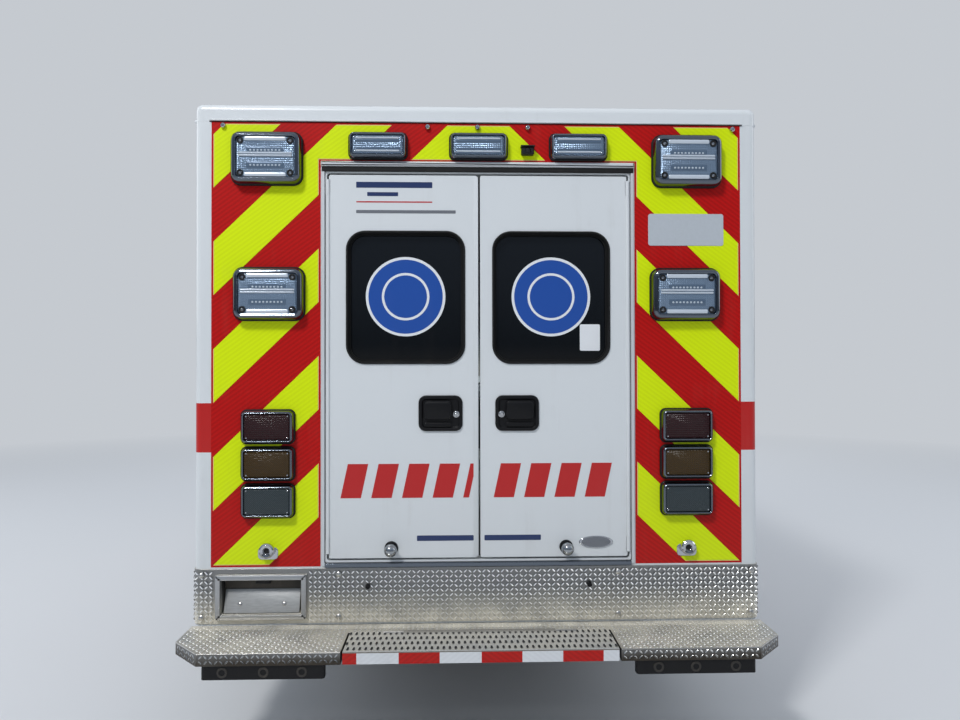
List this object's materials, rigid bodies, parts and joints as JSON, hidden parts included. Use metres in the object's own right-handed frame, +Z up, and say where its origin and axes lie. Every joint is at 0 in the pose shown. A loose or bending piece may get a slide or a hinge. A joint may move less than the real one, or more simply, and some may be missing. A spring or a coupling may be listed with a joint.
{
  "type": "ambulance",
  "caption": "Box-bodied ambulance on a cutaway van chassis, with twin rear doors, side door, lockers, rear step, dual rear wheels and warning lamps.",
  "frame": {"origin": "on the ground, under the middle of the vehicle's overall length and width", "axes": "+Y forward along the vehicle, +X to its right, +Z up"},
  "size_m": [2.6, 6.7998, 2.662],
  "materials": {
    "white_paint": "gloss",
    "tread_plate": "raised tread pattern, worn",
    "sheet_aluminium": "satin",
    "window_glass": "tinted",
    "tyre_rubber": "matte",
    "wheel_steel": "polished",
    "frame_black": "satin",
    "cast_metal": "rough",
    "exhaust_steel": "heat stained",
    "rubber": "matte",
    "lamp_plastic": "gloss",
    "headlamp_plastic": "clear",
    "grille_chrome": "mirror",
    "black_plastic": "grained",
    "dash_plastic": "grained",
    "seat_cloth": "woven",
    "vinyl_pad": "vinyl, satin",
    "floor_vinyl": "speckled"
  },
  "bodies": {
    "chassis": {"cab_shell": "white_paint", "front_wings": "white_paint", "module_left_wall": "white_paint", "module_right_wall": "white_paint", "module_front_wall": "white_paint", "module_rear_wall": "white_paint", "module_roof": "white_paint", "kick_plate": "tread_plate", "rear_bumper": "tread_plate", "running_boards": "tread_plate", "lockers": "sheet_aluminium", "wheel_wells": "sheet_aluminium", "windscreen": "window_glass", "frame_rails": "frame_black", "front_suspension": "frame_black", "rear_suspension": "frame_black", "fuel_tank": "frame_black", "drivetrain": "cast_metal", "exhaust": "exhaust_steel", "dock_rubbers": "rubber", "module_lamps": "lamp_plastic", "headlamps": "headlamp_plastic", "grille": "grille_chrome", "front_bumper": "grille_chrome", "dashboard": "dash_plastic", "cab_seats": "seat_cloth", "bench_cushion": "vinyl_pad", "module_floor": "floor_vinyl"},
    "left_knuckle": {"left_knuckle": "frame_black"},
    "right_knuckle": {"right_knuckle": "frame_black"},
    "front_left_wheel": {"front_left_tyre": "tyre_rubber", "front_left_rim": "wheel_steel"},
    "front_right_wheel": {"front_right_tyre": "tyre_rubber", "front_right_rim": "wheel_steel"},
    "rear_left_wheels": {"rear_left_tyres": "tyre_rubber", "rear_left_rims": "wheel_steel"},
    "rear_right_wheels": {"rear_right_tyres": "tyre_rubber", "rear_right_rims": "wheel_steel"},
    "steering_wheel": {"steering_wheel": "black_plastic"},
    "left_cab_door": {"left_cab_door": "white_paint", "left_door_window": "window_glass", "left_mirror": "black_plastic"},
    "right_cab_door": {"right_cab_door": "white_paint", "right_door_window": "window_glass", "right_mirror": "black_plastic"},
    "bonnet": {"bonnet": "white_paint"},
    "left_rear_door": {"left_rear_door": "white_paint", "left_rear_window": "window_glass"},
    "right_rear_door": {"right_rear_door": "white_paint", "right_rear_window": "window_glass"},
    "side_door": {"side_door": "white_paint", "side_door_window": "window_glass"},
    "left_front_locker_door": {"left_front_locker_door": "white_paint"},
    "left_middle_locker_door": {"left_middle_locker_door": "white_paint"},
    "left_rear_locker_door": {"left_rear_locker_door": "white_paint"},
    "right_front_locker_door": {"right_front_locker_door": "white_paint"},
    "right_rear_locker_door": {"right_rear_locker_door": "white_paint"},
    "folding_step": {"folding_step": "tread_plate"}
  },
  "joints": [
    {"name": "steer_left", "type": "hinge", "parent": "chassis", "child": "left_knuckle", "pos_m": [-0.8, 2.64, 0.372], "axis": [0, 0, 1], "range_deg": [-35, 35]},
    {"name": "steer_right", "type": "hinge", "parent": "chassis", "child": "right_knuckle", "pos_m": [0.8, 2.64, 0.372], "axis": [0, 0, 1], "range_deg": [-35, 35]},
    {"name": "steering_wheel_turn", "type": "hinge", "parent": "chassis", "child": "steering_wheel", "pos_m": [-0.6, 1.955, 1.19], "axis": [0, -0.8192, 0.5736], "range_deg": [-560, 560]},
    {"name": "front_left_spin", "type": "hinge", "parent": "left_knuckle", "child": "front_left_wheel", "pos_m": [-0.882, 2.64, 0.372], "axis": [1, 0, 0], "continuous": true},
    {"name": "front_right_spin", "type": "hinge", "parent": "right_knuckle", "child": "front_right_wheel", "pos_m": [0.882, 2.64, 0.372], "axis": [1, 0, 0], "continuous": true},
    {"name": "rear_left_spin", "type": "hinge", "parent": "chassis", "child": "rear_left_wheels", "pos_m": [-0.867, -1.373, 0.372], "axis": [1, 0, 0], "continuous": true},
    {"name": "rear_right_spin", "type": "hinge", "parent": "chassis", "child": "rear_right_wheels", "pos_m": [0.867, -1.373, 0.372], "axis": [1, 0, 0], "continuous": true},
    {"name": "left_cab_door_hinge", "type": "hinge", "parent": "chassis", "child": "left_cab_door", "pos_m": [-1.008, 2.146, 0.92], "axis": [0, 0, -1], "range_deg": [0, 68]},
    {"name": "right_cab_door_hinge", "type": "hinge", "parent": "chassis", "child": "right_cab_door", "pos_m": [1.008, 2.146, 0.92], "axis": [0, 0, 1], "range_deg": [0, 68]},
    {"name": "bonnet_hinge", "type": "hinge", "parent": "chassis", "child": "bonnet", "pos_m": [0, 2.544, 1.325], "axis": [1, 0, 0], "range_deg": [0, 60]},
    {"name": "left_rear_door_hinge", "type": "hinge", "parent": "chassis", "child": "left_rear_door", "pos_m": [-0.616, -3.095, 1.589], "axis": [0, 0, -1], "range_deg": [0, 148]},
    {"name": "right_rear_door_hinge", "type": "hinge", "parent": "chassis", "child": "right_rear_door", "pos_m": [0.616, -3.095, 1.589], "axis": [0, 0, 1], "range_deg": [0, 148]},
    {"name": "side_door_hinge", "type": "hinge", "parent": "chassis", "child": "side_door", "pos_m": [1.156, 0.431, 1.505], "axis": [0, 0, 1], "range_deg": [0, 110]},
    {"name": "folding_step_hinge", "type": "hinge", "parent": "chassis", "child": "folding_step", "pos_m": [0, -3.199, 0.54], "axis": [-1, 0, 0], "range_deg": [0, 90]},
    {"name": "left_front_locker_door_hinge", "type": "hinge", "parent": "chassis", "child": "left_front_locker_door", "pos_m": [-1.156, 1.031, 1.4], "axis": [0, 0, -1], "range_deg": [0, 110]},
    {"name": "left_middle_locker_door_hinge", "type": "hinge", "parent": "chassis", "child": "left_middle_locker_door", "pos_m": [-1.156, 0.331, 0.895], "axis": [0, 0, -1], "range_deg": [0, 110]},
    {"name": "left_rear_locker_door_hinge", "type": "hinge", "parent": "chassis", "child": "left_rear_locker_door", "pos_m": [-1.156, -1.939, 1.25], "axis": [0, 0, -1], "range_deg": [0, 110]},
    {"name": "right_front_locker_door_hinge", "type": "hinge", "parent": "chassis", "child": "right_front_locker_door", "pos_m": [1.156, 1.031, 1.4], "axis": [0, 0, 1], "range_deg": [0, 110]},
    {"name": "right_rear_locker_door_hinge", "type": "hinge", "parent": "chassis", "child": "right_rear_locker_door", "pos_m": [1.156, -1.939, 1.08], "axis": [0, 0, 1], "range_deg": [0, 110]}
  ],
  "couplings": [
    {"joint": "steer_right", "follows": "steer_left", "ratio": 1},
    {"joint": "steering_wheel_turn", "follows": "steer_left", "ratio": 16}
  ]
}
